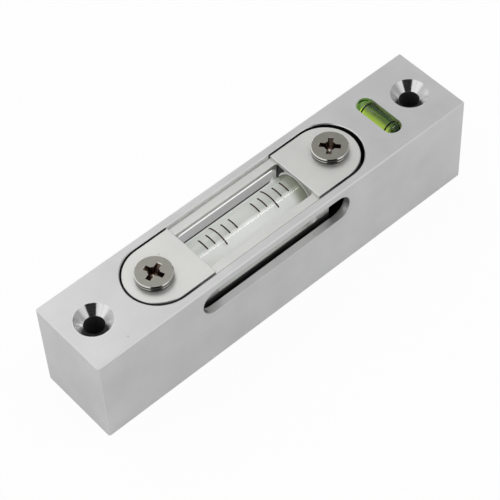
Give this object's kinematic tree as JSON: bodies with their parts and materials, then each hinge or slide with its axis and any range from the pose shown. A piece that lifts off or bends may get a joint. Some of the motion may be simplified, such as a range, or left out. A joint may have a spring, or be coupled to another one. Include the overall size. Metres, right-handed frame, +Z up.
{
  "type": "precision level",
  "caption": "Bar-type precision level: a milled aluminium block with an adjustable graduated spirit vial in its top, a small cross vial and countersunk mounting holes.",
  "frame": {"origin": "middle of the base face", "axes": "+X along the block towards the cross vial, +Y across it, +Z up out of the face with the vials"},
  "size_m": [0.1, 0.0198, 0.0256],
  "materials": {
    "block_aluminium": "satin",
    "carrier_aluminium": "satin",
    "vial_glass": "polished",
    "clear_spirit": "polished",
    "air_bubble": "polished",
    "line_enamel": "matte",
    "white_plaster": "matte",
    "nickel_screw": "satin",
    "turned_steel": "satin",
    "clear_acrylic": "polished",
    "green_spirit": "polished",
    "black_ink": "matte"
  },
  "bodies": {
    "level_block": {"block": "block_aluminium", "pivot_screw": "nickel_screw", "pivot_washer": "nickel_screw", "pivot_pillar": "turned_steel", "adjusting_spring": "turned_steel", "cross_vial_shell": "clear_acrylic", "cross_vial_cap": "clear_acrylic", "cross_vial_spirit": "green_spirit", "cross_vial_rings": "black_ink"},
    "carrier": {"vial_carrier": "carrier_aluminium", "plaster_bed": "white_plaster", "vial_tube": "vial_glass", "vial_plug_near": "vial_glass", "vial_plug_far": "vial_glass", "vial_spirit": "clear_spirit", "graduation_lines": "line_enamel"},
    "seat_washer": {"adjusting_washer": "nickel_screw"},
    "screw": {"adjusting_screw": "nickel_screw"},
    "main_bubble": {"vial_bubble": "air_bubble"},
    "small_bubble": {"cross_vial_bubble": "air_bubble"}
  },
  "joints": [
    {"name": "washer_lift", "type": "slide", "parent": "level_block", "child": "seat_washer", "axis": [0, 0, 1], "range_m": [-0.00032, 0.00032]},
    {"name": "screw_turn", "type": "hinge", "parent": "seat_washer", "child": "screw", "pos_m": [0.02, 0, 0.024], "axis": [0, 0, 1], "range_deg": [-150, 150]},
    {"name": "carrier_tilt", "type": "hinge", "parent": "level_block", "child": "carrier", "pos_m": [-0.0277, 0, 0.0201], "axis": [0, -1, 0], "range_deg": [-0.35, 0.35], "deforming": ["adjusting_spring"]},
    {"name": "bubble_run", "type": "slide", "parent": "carrier", "child": "main_bubble", "axis": [1, 0, 0], "range_m": [-0.019, 0], "stiffness_N_per_m": 0.03, "deforming": ["vial_spirit"]},
    {"name": "cross_bubble_run", "type": "slide", "parent": "level_block", "child": "small_bubble", "axis": [0, 1, 0], "range_m": [-0.0044, 0], "stiffness_N_per_m": 0.01, "deforming": ["cross_vial_spirit"]}
  ],
  "couplings": [
    {"joint": "washer_lift", "follows": "carrier_tilt", "m_per_rad": 0.0477},
    {"joint": "screw_turn", "follows": "carrier_tilt", "ratio": 428.15}
  ]
}
